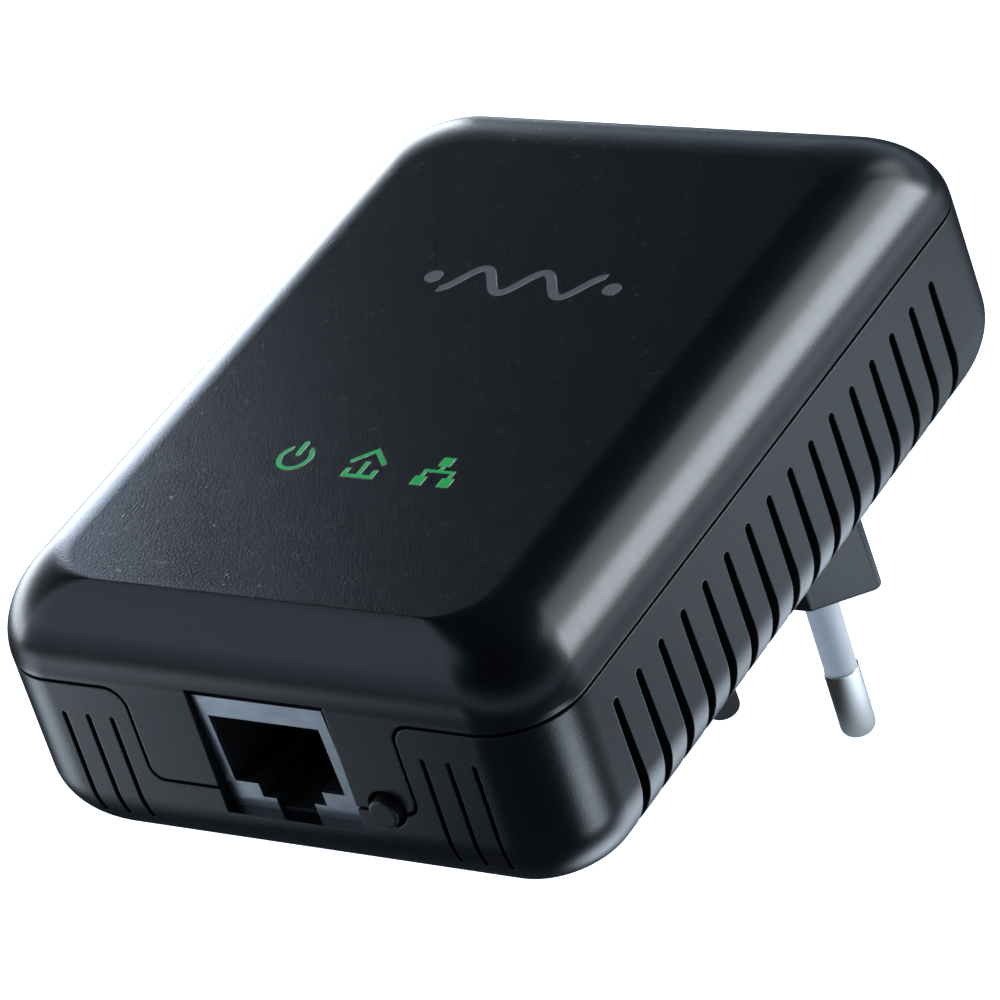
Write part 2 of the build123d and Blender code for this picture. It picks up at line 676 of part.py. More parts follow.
with BuildPart() as mains_fuse:
    with Locations((-14.5, 8, BOARD_Z + 3.5)):
        Cylinder(1.9, 7)
    fillet(mains_fuse.edges().group_by(Axis.Z)[-1], radius=0.5)
save(mains_fuse.part, "mains_fuse")

with BuildPart() as surge_varistor:
    with BuildSketch(Plane.XZ.offset(-7.0)):
        with Locations((13.3, BOARD_Z + 6.5)):
            Circle(4.5)
    extrude(amount=3.6)
    fillet(surge_varistor.edges(), radius=1.0)
    with Locations((10.8, 5.2, BOARD_Z + 1.5), (15.8, 5.2, BOARD_Z + 1.5)):
        Box(0.7, 0.7, 3)
save(surge_varistor.part, "surge_varistor")

save(toroid(-3.5, -1.5, 3.9, 1.7, BOARD_Z + 5.8), "filter_choke")
save(toroid(24.5, -33.5, 3.4, 1.6, BOARD_Z + 5.2), "powerline_coupler")

with BuildPart() as clock_crystal:
    with BuildSketch(Plane.XY.offset(BOARD_Z)):
        with Locations((3.5, -34)):
            SlotOverall(11, 4.6)
    extrude(amount=3.5)
    fillet(clock_crystal.edges().group_by(Axis.Z)[-1], radius=0.6)
save(clock_crystal.part, "clock_crystal")
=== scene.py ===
import bpy
import bmesh
from math import cos, pi, radians, sin, sqrt, tan
from mathutils import Matrix, Vector


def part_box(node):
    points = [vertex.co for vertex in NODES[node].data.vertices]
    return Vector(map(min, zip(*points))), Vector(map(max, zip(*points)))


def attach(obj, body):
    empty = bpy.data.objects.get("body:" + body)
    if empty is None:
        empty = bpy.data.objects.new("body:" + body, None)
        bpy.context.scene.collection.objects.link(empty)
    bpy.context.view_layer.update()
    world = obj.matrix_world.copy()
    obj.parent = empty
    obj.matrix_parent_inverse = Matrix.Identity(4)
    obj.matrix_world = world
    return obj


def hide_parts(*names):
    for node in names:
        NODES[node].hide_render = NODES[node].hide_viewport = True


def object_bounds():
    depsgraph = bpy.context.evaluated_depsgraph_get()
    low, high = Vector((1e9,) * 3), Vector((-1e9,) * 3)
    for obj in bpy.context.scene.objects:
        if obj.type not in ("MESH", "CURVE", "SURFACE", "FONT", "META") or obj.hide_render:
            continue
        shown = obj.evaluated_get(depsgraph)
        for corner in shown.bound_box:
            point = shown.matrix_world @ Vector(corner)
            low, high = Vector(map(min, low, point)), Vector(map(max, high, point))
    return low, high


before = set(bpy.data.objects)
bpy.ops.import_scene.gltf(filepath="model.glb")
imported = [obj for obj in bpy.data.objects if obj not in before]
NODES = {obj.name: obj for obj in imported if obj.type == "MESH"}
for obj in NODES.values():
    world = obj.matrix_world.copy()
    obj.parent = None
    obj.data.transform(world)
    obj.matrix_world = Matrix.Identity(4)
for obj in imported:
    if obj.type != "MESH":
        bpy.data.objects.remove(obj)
CAD_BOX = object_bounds()
MM = 0.001

# ---- driving dimensions, millimetres, in the row's frame ----------------------------------------
HIGH = Vector(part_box("front_cover")[1]) / MM
HALF_W = 33.9
FAR_Y = HIGH.y
FRONT_Z = HIGH.z
NEAR_Y = FAR_Y - 91.5
BACK_Z = 21.2
SPLIT_Z = 43.2
WALL = 2.0
SEAM = 0.4
CORNER_R = 8.4
CORNER_TIP_R = 6.0
SIDE_ROUND = 8.9
FAR_ROUND = 11.3
NEAR_ARC = 10.5
BACK_ROUND = 9.0
NEAR_DRAFT = 3.0
ROUND_STEPS = 20
CORNER_STEPS = 20
TONGUE_HALF_W = 16.1
TONGUE_Z = 32.35
SLOT_COUNT = 16
SLOT_PITCH = 4.437
SLOT_FIRST_Y = -63.8
SLOT_TOP_Z = 39.5
SLOT_TOP_W = 1.05
SLOT_LOW_W = 1.55
SLOT_TAPER_Z = 27.0
SLOT_IN_X = 25.5
GROOVE_X = (18.7, 21.7, 24.7)
GROOVE_W = 0.6
GROOVE_LOW_Z = 26.6
GROOVE_DEPTH = 1.3
BOSS_FLAT_X = 12.8
BOSS_TIP_X = 17.65
BOSS_HALF_D = 6.85
BOSS_WALL = 1.8
BOSS_FLOOR = 4.0
BOSS_EDGE_R = 0.45
PINS = ((-9.36, 0), (9.36, 0))
SLEEVE_R = 1.98
RELIEF_R = 2.4
RELIEF_DEPTH = 0.4
RECESS = (0.35, 36.85, 16.7, 14.8)
BUTTON = (12.45, 32.7)
BUTTON_HOLE_R = 2.15
SCREWS = [(x, y) for x in (-21.3, 21.3) for y in (-62.5, 4.6)]
POST_R = 3.3
POST_TOP_Z = 31.0
SCREW_SEAT_Z = 26.5
MARK_PLACE = (0.9, -18.6)
MARK_L = 18.5
WAVE_PITCH = 7.4
WAVE_H = 1.9
WAVE_LINE = 1.0
WAVE_STEPS = 90
PRINT_T = 0.06
ICON_GUIDES = ("light_guide_power", "light_guide_home", "light_guide_network")
TONGUE_TOP_R = 2.3
TONGUE_LOW_R = 1.6
TONGUE_DEPTH = WALL + 0.6
BOSS_CORNER_R = 2.5
BOSS_TIP_R = 0.7
BOSS_EDGE_STEPS = 6
TIP_SHRINK = 1.2          # how far the boss's points and flats move for 1 mm of wall
FLAT_SHRINK = 0.5
BAND_STEPS = 12
LIP = (WALL - 0.2, WALL + 0.9, SPLIT_Z - 2.5, SPLIT_Z - 0.7)            # outer, inner, low, high
UPPER_LIP = (WALL + 0.35, WALL + 0.8, SPLIT_Z - 1.2, SPLIT_Z + 1.5)
LIP_NOTCH = (0, SPLIT_Z - 1.5, 2 * TONGUE_HALF_W + 2.3, 6)             # x, z, width, height
APRON = (0, SPLIT_Z - 6.4, 2 * TONGUE_HALF_W + 3.2, 11)
APRON_Y = (NEAR_Y + WALL + 0.25, NEAR_Y + WALL + 1.0)
SHELL_RECESS = (RECESS[0], 37.1, RECESS[2], 15.6)
HOLE_Y = (NEAR_Y - 5, NEAR_Y + 4)          # cutters through the socket end run between these
GROOVE_Y = (NEAR_Y - 8, NEAR_Y + GROOVE_DEPTH - 0.6)
COVER_POST_R = POST_R - 0.3
COVER_BORE_R = 1.4
COVER_BORE_L = 12
SHELL_BORE_R = 1.55
SCREW_SEAT_R = 2.6
DOT_GAP = 0.7
PRINT_INSET = 0.005
SHARP_ANGLE = 22
CAMERA_TURN = (42.48, 32.82, -20.56)       # azimuth, elevation, roll in degrees
CAMERA_AIM = (-0.0068, 0.00564, 0.0127)    # metres from the middle of the CAD box, x from zero
CAMERA_AWAY = 0.5695
LENS = 198.2
SENSOR_W = 36


# ---- camera ---------------------------------------------------------------------------------------
def make_camera():
    """Long lens, from the front right and above, rolled so that the far end leans up to the right."""
    azimuth, elevation, roll = (radians(turn) for turn in CAMERA_TURN)
    back = Vector((sin(azimuth) * cos(elevation), -cos(azimuth) * cos(elevation), sin(elevation)))
    middle = (Vector(CAD_BOX[0]) + Vector(CAD_BOX[1])) / 2
    aim = Vector((0, middle.y, middle.z)) + Vector(CAMERA_AIM)
    data = bpy.data.cameras.new("camera")
    data.lens = LENS
    data.sensor_width = SENSOR_W
    data.clip_start = 0.01
    camera = bpy.data.objects.new("camera", data)
    camera.location = aim + back * CAMERA_AWAY
    camera.rotation_mode = "QUATERNION"
    turned = Matrix.Rotation(roll, 3, "Z").to_quaternion()
    camera.rotation_quaternion = (-back).to_track_quat("-Z", "Y") @ turned
    bpy.context.scene.collection.objects.link(camera)
    bpy.context.scene.camera = camera


make_camera()


# ---- mesh helpers ------------------------------------------------------------------------------------
def new_piece(name, mesh, body="housing"):
    """Put a finished mesh in the scene as a piece that moves with a body."""
    piece = bpy.data.objects.new(name, mesh)
    bpy.context.scene.collection.objects.link(piece)
    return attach(piece, body)


def mesh_from(bm, name):
    """Metre-scaled mesh from a bmesh in millimetres, normals outward."""
    bmesh.ops.recalc_face_normals(bm, faces=bm.faces)
    bmesh.ops.scale(bm, vec=(MM, MM, MM), verts=bm.verts)
    mesh = bpy.data.meshes.new(name)
    bm.to_mesh(mesh)
    bm.free()
    return mesh


def add_prism(bm, outline, place, low, high):
    """Closed prism: outline points (a, b) run from low to high; place(a, b, c) gives the corner."""
    rings = [[bm.verts.new(place(a, b, c)) for a, b in outline] for c in (low, high)]
    count = len(outline)
    for k in range(count):
        bm.faces.new((rings[0][k], rings[0][(k + 1) % count], rings[1][(k + 1) % count], rings[1][k]))
    bm.faces.new(rings[0][::-1])
    bm.faces.new(rings[1])


def prism(name, outline, place, low, high):
    """One prism as its own mesh."""
    bm = bmesh.new()
    add_prism(bm, outline, place, low, high)
    return mesh_from(bm, name)


def along_x(a, b, c):
    return (c, a, b)


def along_y(a, b, c):
    return (a, c, b)


def along_z(a, b, c):
    return (a, b, c)


def boolean(mesh, cutter, operation):
    """Result of one exact boolean, as a new mesh."""
    target = bpy.data.objects.new("target", mesh)
    tool = bpy.data.objects.new("tool", cutter)
    for piece in (target, tool):
        bpy.context.scene.collection.objects.link(piece)
    modifier = target.modifiers.new("cut", "BOOLEAN")
    modifier.operation = operation
    modifier.solver = "EXACT"
    modifier.object = tool
    bpy.context.view_layer.update()
    result = bpy.data.meshes.new_from_object(target.evaluated_get(bpy.context.evaluated_depsgraph_get()))
    for piece in (target, tool):
        bpy.data.objects.remove(piece)
    return result


def arc(cx, cy, radius, start, end, steps):
    """Points on a circular arc, degrees, ends included."""
    turns = [radians(start + (end - start) * k / steps) for k in range(steps + 1)]
    return [(cx + radius * cos(turn), cy + radius * sin(turn)) for turn in turns]


# ---- case --------------------------------------------------------------------------------------------
def near_y(z):
    """Socket-end face below the parting line."""
    return NEAR_Y - (SPLIT_Z - z) * tan(radians(NEAR_DRAFT))


def case_levels(inset):
    """(z, side inset, near y, far y, corner radius) outlines from back to front."""
    levels = []
    for step in range(ROUND_STEPS, -1, -1):
        angle = radians(90 * step / ROUND_STEPS)
        radius = BACK_ROUND - inset
        z = BACK_Z + BACK_ROUND - radius * sin(angle)
        turn = radius * (1 - cos(angle))
        levels.append((z, inset + turn, near_y(z) + inset + turn, FAR_Y - inset - turn,
                       CORNER_R - inset + (CORNER_TIP_R - CORNER_R) * (1 - cos(angle))))
    for step in range(ROUND_STEPS + 1):
        angle = radians(90 * step / ROUND_STEPS)
        rise = (FRONT_Z - SPLIT_Z - inset) * sin(angle)
        turn = 1 - cos(angle)
        bow = NEAR_ARC - inset
        levels.append((SPLIT_Z + rise, inset + (SIDE_ROUND - inset) * turn,
                       NEAR_Y + inset + bow - sqrt(bow**2 - rise**2),
                       FAR_Y - inset - (FAR_ROUND - inset) * turn,
                       CORNER_R - inset + (CORNER_TIP_R - CORNER_R) * turn))
    return levels


def case_outline(x, near, far, radius, steps):
    """Rounded rectangle whose four corner arcs centre on x or -x and near or far."""
    return (arc(x, near, radius, -90, 0, steps) + arc(x, far, radius, 0, 90, steps)
            + arc(-x, far, radius, 90, 180, steps) + arc(-x, near, radius, 180, 270, steps))


def stacked(bm, rings):
    """Closed skin through rings of equal length, bottom to top."""
    rows = [[bm.verts.new(point) for point in ring] for ring in rings]
    count = len(rows[0])
    for lower, upper in zip(rows, rows[1:]):
        for k in range(count):
            bm.faces.new((lower[k], lower[(k + 1) % count], upper[(k + 1) % count], upper[k]))
    bm.faces.new(rows[0][::-1])
    bm.faces.new(rows[-1])


def case_mesh(inset):
    """Closed skin of the whole case, every face moved inward by inset."""
    bm = bmesh.new()
    rings = []
    for z, side, near, far, radius in case_levels(inset):
        x, low, high = HALF_W - side - radius, near + radius, far - radius
        rings.append([(a, b, z) for a, b in case_outline(x, low, high, radius, CORNER_STEPS)])
    stacked(bm, rings)
    return mesh_from(bm, "case")


def cover_zone(gap):
    """Space of the front cover grown by gap: all above the parting line, and the tongue."""
    edge, low, split = TONGUE_HALF_W + gap, TONGUE_Z - gap, SPLIT_Z - gap
    top_r, low_r, wide, high = TONGUE_TOP_R - gap, TONGUE_LOW_R + gap, HALF_W + 5, FRONT_Z + 5
    left = (arc(-edge - top_r, split - top_r, top_r, 90, 0, 10)
            + arc(-edge + low_r, low + low_r, low_r, 180, 270, 10))
    right = (arc(edge - low_r, low + low_r, low_r, 270, 360, 10)
             + arc(edge + top_r, split - top_r, top_r, 180, 90, 10))
    near = [(-wide, high), (-wide, split)] + left + right + [(wide, split), (wide, high)]
    front = prism("zone_near", near, along_y, NEAR_Y - 10, NEAR_Y + TONGUE_DEPTH)
    rest = prism("zone_far", [(-wide, high), (-wide, split), (wide, split), (wide, high)], along_y,
                 NEAR_Y + TONGUE_DEPTH, FAR_Y + 5)
    return boolean(front, rest, "UNION")


def slot_cutters():
    """All the tapering slots of both long sides as one mesh."""
    bm = bmesh.new()
    top, low = SLOT_TOP_W / 2, SLOT_LOW_W / 2
    for index in range(SLOT_COUNT):
        y = SLOT_FIRST_Y + index * SLOT_PITCH
        outline = [(y + low, SLOT_TAPER_Z), (y + low, BACK_Z - 1),
                   (y - low, BACK_Z - 1), (y - low, SLOT_TAPER_Z)]
        outline += arc(y, SLOT_TOP_Z - top, top, 180, 0, 8)
        for near, far in ((SLOT_IN_X, HALF_W + 2), (-HALF_W - 2, -SLOT_IN_X)):
            add_prism(bm, outline, along_x, near, far)
    return mesh_from(bm, "slots")


def slot_outline(x, low, high, width):
    """Upright round-ended slot."""
    r = width / 2
    return arc(x, high - r, r, 0, 180, 8) + arc(x, low + r, r, 180, 360, 8)


def rounded(corners, radii, steps):
    """Polygon (counter-clockwise) with every corner turned into an arc."""
    outline = []
    count = len(corners)
    for k, (here, radius) in enumerate(zip(corners, radii)):
        here = Vector(here)
        back = (Vector(corners[k - 1]) - here).normalized()
        ahead = (Vector(corners[(k + 1) % count]) - here).normalized()
        half = back.angle(ahead) / 2
        centre = here + (back + ahead).normalized() * radius / sin(half)
        start = here + back * radius / tan(half) - centre
        end = here + ahead * radius / tan(half) - centre
        for step in range(steps + 1):
            outline.append(tuple(centre + start.slerp(end, step / steps)))
    return outline


def rectangle(x, z, width, height):
    """Corners of an upright rectangle round its middle."""
    return [(x - width / 2, z - height / 2), (x + width / 2, z - height / 2),
            (x + width / 2, z + height / 2), (x - width / 2, z + height / 2)]


def disc(x, y, radius, steps=48):
    """Points of a full circle, the first not repeated."""
    return arc(x, y, radius, 0, 360 - 360 / steps, steps - 1)


def boss_outline(shrink):
    """Six-sided plug boss, its sides moved inward by shrink."""
    tip = BOSS_TIP_X - shrink * TIP_SHRINK
    flat = BOSS_FLAT_X - shrink * FLAT_SHRINK
    deep = BOSS_HALF_D - shrink
    corners = [(-tip, 0), (-flat, -deep), (flat, -deep), (tip, 0), (flat, deep), (-flat, deep)]
    return rounded(corners, [BOSS_TIP_R, BOSS_CORNER_R, BOSS_CORNER_R] * 2, 8)


def boss_mesh():
    """Plug boss with a rounded lower edge."""
    bm = bmesh.new()
    rings = []
    for step in range(BOSS_EDGE_STEPS + 1):
        angle = radians(90 * step / BOSS_EDGE_STEPS)
        ring = boss_outline(BOSS_EDGE_R * (1 - sin(angle)))
        rings.append([(a, b, BOSS_EDGE_R * (1 - cos(angle))) for a, b in ring])
    rings.append([(a, b, BACK_Z + 0.5) for a, b in boss_outline(0)])
    stacked(bm, rings)
    return mesh_from(bm, "boss")


def band(outer, inner, low, high):
    """Upright band that follows the case wall between two insets."""
    skins = []
    for name, inset, extra in (("outside", outer, 0), ("inside", inner, 0.5)):
        radius = CORNER_R - inset
        x, near, far = HALF_W - inset - radius, NEAR_Y + inset + radius, FAR_Y - inset - radius
        outline = case_outline(x, near, far, radius, BAND_STEPS)
        skins.append(prism(name, outline, along_z, low - extra, high + extra))
    return boolean(skins[0], skins[1], "DIFFERENCE")


def cut_all(mesh, *cutters):
    """Mesh less every cutter, in turn."""
    for cutter in cutters:
        mesh = boolean(mesh, cutter, "DIFFERENCE")
    return mesh


def join_all(mesh, *others):
    """Mesh and all the others as one."""
    for other in others:
        mesh = boolean(mesh, other, "UNION")
    return mesh


def round_bars(name, outlines, place, low, high):
    """Several prisms that don't touch each other, as one mesh."""
    bm = bmesh.new()
    for outline in outlines:
        add_prism(bm, outline, place, low, high)
    return mesh_from(bm, name)


def welded(node):
    """Copy of a light guide as one closed skin that reaches past the front face, for cutting."""
    bm = bmesh.new()
    bm.from_mesh(NODES[node].data)
    bmesh.ops.remove_doubles(bm, verts=bm.verts, dist=1e-6)
    for vert in bm.verts:
        if vert.co.z > (FRONT_Z - 0.1) * MM:
            vert.co.z += MM
    mesh = bpy.data.meshes.new(node + "_cutter")
    bm.to_mesh(mesh)
    bm.free()
    return mesh


def wave_outline():
    """Uniform line along a sine wave."""
    left, right = [], []
    for step in range(WAVE_STEPS + 1):
        x = MARK_L * (step / WAVE_STEPS - 0.5)
        turn = 2 * pi * x / WAVE_PITCH
        slope = WAVE_H * 2 * pi / WAVE_PITCH * cos(turn)
        across = Vector((-slope, 1)).normalized() * WAVE_LINE / 2
        point = Vector((x, WAVE_H * sin(turn))) + Vector(MARK_PLACE)
        left.append(tuple(point + across))
        right.append(tuple(point - across))
    return right + left[::-1]


def mark_outlines():
    """Generic printed mark: a wave between two dots."""
    x, y = MARK_PLACE
    reach = MARK_L / 2 + WAVE_LINE + DOT_GAP
    return [wave_outline(), disc(x - reach, y, WAVE_LINE), disc(x + reach, y, WAVE_LINE)]


def socket_end_holes(recess):
    """Cutters for the socket opening (x, z, width, height) and the button hole."""
    return (prism("opening", rectangle(*recess), along_y, *HOLE_Y),
            prism("button_hole", disc(*BUTTON, BUTTON_HOLE_R), along_y, *HOLE_Y))


def pegs(name, centres, radius, low, high):
    """Upright round bars at the centres."""
    return round_bars(name, [disc(x, y, radius) for x, y in centres], along_z, low, high)


def make_cover(outer, inner):
    """Front cover: dome, tongue round the socket, openings for socket, button and symbols."""
    mesh = boolean(boolean(outer, inner, "DIFFERENCE"), cover_zone(-SEAM / 2), "INTERSECT")
    pocket = round_bars("print_pocket", mark_outlines(), along_z, FRONT_Z - PRINT_T, FRONT_Z + 1)
    mesh = cut_all(mesh, *socket_end_holes(RECESS), pocket, *(welded(guide) for guide in ICON_GUIDES))
    posts = pegs("posts", SCREWS, COVER_POST_R, POST_TOP_Z, FRONT_Z - WALL + 0.5)
    bores = pegs("bores", SCREWS, COVER_BORE_R, POST_TOP_Z - 1, POST_TOP_Z + COVER_BORE_L)
    return boolean(boolean(mesh, posts, "UNION"), bores, "DIFFERENCE")


def make_shell(outer, inner):
    """Rear shell: slotted tub with inner lip, plug boss and screw seats."""
    mesh = boolean(boolean(outer, inner, "DIFFERENCE"), cover_zone(SEAM / 2), "DIFFERENCE")
    mesh = boolean(mesh, slot_cutters(), "DIFFERENCE")
    lip = band(*LIP)
    notch = prism("notch", rectangle(*LIP_NOTCH), along_y, NEAR_Y - 1, NEAR_Y + WALL + 0.3)
    upper_lip = band(*UPPER_LIP)
    apron = prism("apron", rectangle(*APRON), along_y, *APRON_Y)
    mesh = join_all(mesh, boolean(lip, notch, "DIFFERENCE"), upper_lip, apron, boss_mesh())
    grooves = round_bars("grooves", [slot_outline(side * x, GROOVE_LOW_Z, SLOT_TOP_Z, GROOVE_W)
                                     for side in (-1, 1) for x in GROOVE_X], along_y, *GROOVE_Y)
    hollow = prism("boss_hollow", boss_outline(BOSS_WALL), along_z, BOSS_FLOOR, BACK_Z + WALL + 4)
    pins = pegs("pin_holes", PINS, SLEEVE_R, -2, BOSS_FLOOR + 1)
    reliefs = pegs("reliefs", PINS, RELIEF_R, -1, RELIEF_DEPTH)
    mesh = cut_all(mesh, *socket_end_holes(SHELL_RECESS), grooves, hollow, pins, reliefs)
    posts = pegs("posts", SCREWS, POST_R, BACK_Z + 0.5, POST_TOP_Z)
    seats = pegs("seats", SCREWS, SCREW_SEAT_R, BACK_Z - 1, SCREW_SEAT_Z)
    bores = pegs("bores", SCREWS, SHELL_BORE_R, BACK_Z, POST_TOP_Z + 2)
    return cut_all(boolean(mesh, posts, "UNION"), seats, bores)


def finish_skin(mesh, sharp):
    """Smooth shading that keeps flat faces flat and edges steeper than sharp degrees crisp."""
    mesh.polygons.foreach_set("use_smooth", [True] * len(mesh.polygons))
    mesh.set_sharp_from_angle(angle=radians(sharp))


OUTER = case_mesh(0)
INNER = case_mesh(WALL)
cover_mesh = make_cover(OUTER, INNER)
shell_mesh = make_shell(OUTER, INNER)
for mesh in (cover_mesh, shell_mesh):
    finish_skin(mesh, SHARP_ANGLE)
cover = new_piece("cover_skin", cover_mesh)
shell = new_piece("shell_skin", shell_mesh)
mark = new_piece("front_mark", round_bars("front_mark", mark_outlines(), along_z,
                                          FRONT_Z - PRINT_T, FRONT_Z - PRINT_INSET))
for piece, node, slot in ((cover, "front_cover", "case_front"), (shell, "rear_shell", "case_rear")):
    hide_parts(node)
    weight = piece.modifiers.new("flat faces lead", "WEIGHTED_NORMAL")
    weight.keep_sharp = True
    weight.weight = 90


# ---- materials ---------------------------------------------------------------------------------------
class Shader:
    """Small helper for node materials."""

    def __init__(self, name):
        self.material = bpy.data.materials.new(name)
        self.material.use_nodes = True
        self.tree = self.material.node_tree
        self.out = self.tree.nodes["Principled BSDF"]
        self.place = self.node("ShaderNodeTexCoord").outputs["Object"]

    def node(self, kind, **settings):
        made = self.tree.nodes.new(kind)
        for key, value in settings.items():
            if hasattr(made, key):
                setattr(made, key, value)
            else:
                made.inputs[key.replace("_", " ").title()].default_value = value
        return made

    def link(self, source, target):
        self.tree.links.new(source, target)

    def noise(self, scale, detail=2.0, stretch=None):
        made = self.node("ShaderNodeTexNoise")
        made.inputs["Scale"].default_value = scale
        made.inputs["Detail"].default_value = detail
        if stretch:
            mapping = self.node("ShaderNodeMapping")
            mapping.inputs["Scale"].default_value = stretch
            self.link(self.place, mapping.inputs["Vector"])
            self.link(mapping.outputs["Vector"], made.inputs["Vector"])
        else:
            self.link(self.place, made.inputs["Vector"])
        return made.outputs["Fac"]

    def between(self, value, low, high, start=0.3, end=0.7):
        made = self.node("ShaderNodeMapRange")
        for key, number in (("From Min", start), ("From Max", end), ("To Min", low), ("To Max", high)):
            made.inputs[key].default_value = number
        self.link(value, made.inputs["Value"])
        return made.outputs["Result"]

    def colours(self, value, first, second):
        """Colour that moves between two colours with a value."""
        made = self.node("ShaderNodeMix", data_type="RGBA")
        made.inputs[6].default_value = (*first, 1)
        made.inputs[7].default_value = (*second, 1)
        self.link(value, made.inputs[0])
        self.link(made.outputs[2], self.out.inputs["Base Color"])

    def roughness(self, value):
        self.link(value, self.out.inputs["Roughness"])

    def bump(self, *layers, edge=None):
        """Bump from (height, distance) layers, over edges rounded in shading by edge metres."""
        normal = None
        if edge:
            rounding = self.node("ShaderNodeBevel", samples=6)
            rounding.inputs["Radius"].default_value = edge
            normal = rounding.outputs["Normal"]
        for height, distance in layers:
            made = self.node("ShaderNodeBump")
            made.inputs["Distance"].default_value = distance
            self.link(height, made.inputs["Height"])
            if normal:
                self.link(normal, made.inputs["Normal"])
            normal = made.outputs["Normal"]
        self.link(normal, self.out.inputs["Normal"])

    def set(self, **values):
        for key, value in values.items():
            self.out.inputs[key.replace("_", " ")].default_value = value


def mould_plastic(name, dark, light, rough, grain, depth, edge, shine=0.5):
    """Moulded plastic: mottled tone, uneven gloss and a spark-eroded grain."""
    shader = Shader(name)
    shader.colours(shader.between(shader.noise(160, 4), 0, 1), dark, light)
    shader.roughness(shader.between(shader.noise(700, 5), rough - 0.014, rough + 0.014))
    shader.bump((shader.noise(grain, 2), depth), edge=edge)
    shader.set(Specular_IOR_Level=shine)
    return shader.material


def grained_front():
    """Glossy black plastic, grained on the flat face only."""
    shader = Shader("case grained black")
    shader.colours(shader.between(shader.noise(160, 4), 0, 1),
                   (0.0032, 0.0042, 0.006), (0.0046, 0.006, 0.0085))
    shader.roughness(shader.between(shader.noise(700, 5), 0.25, 0.275))
    place = shader.node("ShaderNodeSeparateXYZ")
    shader.link(shader.place, place.inputs[0])
    flat = shader.between(place.outputs["Z"], 0, 1, (FRONT_Z - 0.6) * MM, (FRONT_Z - 0.1) * MM)
    grain = shader.node("ShaderNodeMath", operation="MULTIPLY")
    shader.link(shader.noise(3800, 2), grain.inputs[0])
    shader.link(flat, grain.inputs[1])
    shader.bump((shader.noise(4000, 2), 0.000006), (grain.outputs[0], 0.000028), edge=0.0002)
    shader.set(Specular_IOR_Level=0.5)
    return shader.material


def metal(name, dark, light, rough, scratch, edge):
    """Plated metal: slightly uneven tone and fine drawn lines."""
    shader = Shader(name)
    shader.set(Metallic=1.0)
    shader.colours(shader.between(shader.noise(300, 4), 0, 1), dark, light)
    lines = shader.noise(2200, 4, stretch=scratch)
    shader.roughness(shader.between(lines, rough * 0.8, rough * 1.3))
    shader.bump((lines, 0.000002), edge=edge)
    return shader.material


def coated(name, dark, light, rough, scale=400, depth=0.00001, edge=0.0001):
    """Painted, dipped or potted part."""
    shader = Shader(name)
    shader.colours(shader.between(shader.noise(scale, 5), 0, 1), dark, light)
    shader.roughness(shader.between(shader.noise(scale * 3, 4), rough - 0.05, rough + 0.08))
    shader.bump((shader.noise(scale * 4, 3), depth), edge=edge)
    return shader.material


MATERIALS = {
    "case_front": grained_front(),
    "case_rear": mould_plastic("case satin black", (0.004, 0.0047, 0.006), (0.0055, 0.0065, 0.008),
                               0.28, 4400, 0.000012, 0.00018),
    "button_plastic": mould_plastic("button black", (0.010, 0.011, 0.013), (0.014, 0.015, 0.018),
                                    0.38, 3600, 0.00001, 0.0002),
    "screw_steel": metal("screw zinc", (0.38, 0.38, 0.40), (0.55, 0.55, 0.57), 0.35, (1, 1, 0.2), 0.0001),
    "inner_plastic": mould_plastic("inner black", (0.012, 0.0125, 0.0135), (0.016, 0.0165, 0.018),
                                   0.5, 2500, 0.00001, 0.0001, 0.3),
    "pin_metal": metal("pin nickel", (0.8, 0.8, 0.79), (0.9, 0.9, 0.89), 0.08, (1, 1, 0.1), 0.0002),
    "sleeve_plastic": coated("sleeve grey", (0.55, 0.56, 0.58), (0.62, 0.63, 0.65), 0.38, 250),
    "lead_brass": metal("lead brass", (0.62, 0.47, 0.2), (0.78, 0.62, 0.3), 0.3, (1, 1, 0.2), 0.0001),
    "jack_metal": metal("socket tin", (0.36, 0.385, 0.42), (0.42, 0.45, 0.49), 0.36, (0.3, 1, 1), 0.0001),
    "contact_gold": metal("contact gold", (0.8, 0.6, 0.24), (0.9, 0.7, 0.32), 0.2, (1, 0.2, 1), 0.00005),
    "plunger_plastic": coated("plunger white", (0.5, 0.5, 0.47), (0.6, 0.6, 0.57), 0.4),
    "led_white": coated("lamp white", (0.7, 0.7, 0.64), (0.85, 0.85, 0.8), 0.3),
    "board_green": coated("board green", (0.01, 0.10, 0.04), (0.02, 0.16, 0.065), 0.35, 250, 0.00002),
    "sheet_film": coated("film", (0.62, 0.58, 0.45), (0.72, 0.68, 0.55), 0.3),
    "chip_black": coated("package black", (0.012, 0.012, 0.012), (0.02, 0.02, 0.02), 0.5, 900),
    "sink_aluminium": metal("sink aluminium", (0.5, 0.5, 0.52), (0.65, 0.65, 0.67),
                            0.35, (1, 0.1, 1), 0.0001),
    "can_sleeve": coated("can sleeve", (0.012, 0.012, 0.02), (0.025, 0.025, 0.035), 0.3),
    "ferrite": coated("ferrite", (0.03, 0.03, 0.03), (0.05, 0.05, 0.05), 0.6, 900),
    "coil_copper": metal("coil copper", (0.5, 0.2, 0.07), (0.7, 0.32, 0.12), 0.3, (1, 1, 1), 0.0001),
    "film_yellow": coated("potted yellow", (0.55, 0.4, 0.06), (0.65, 0.5, 0.1), 0.35),
    "fuse_brown": coated("fuse brown", (0.16, 0.07, 0.03), (0.24, 0.11, 0.05), 0.35),
    "varistor_blue": coated("varistor blue", (0.03, 0.08, 0.3), (0.05, 0.12, 0.4), 0.35),
    "crystal_metal": metal("crystal can", (0.5, 0.5, 0.5), (0.62, 0.62, 0.62), 0.28, (0.2, 1, 1), 0.0001),
}


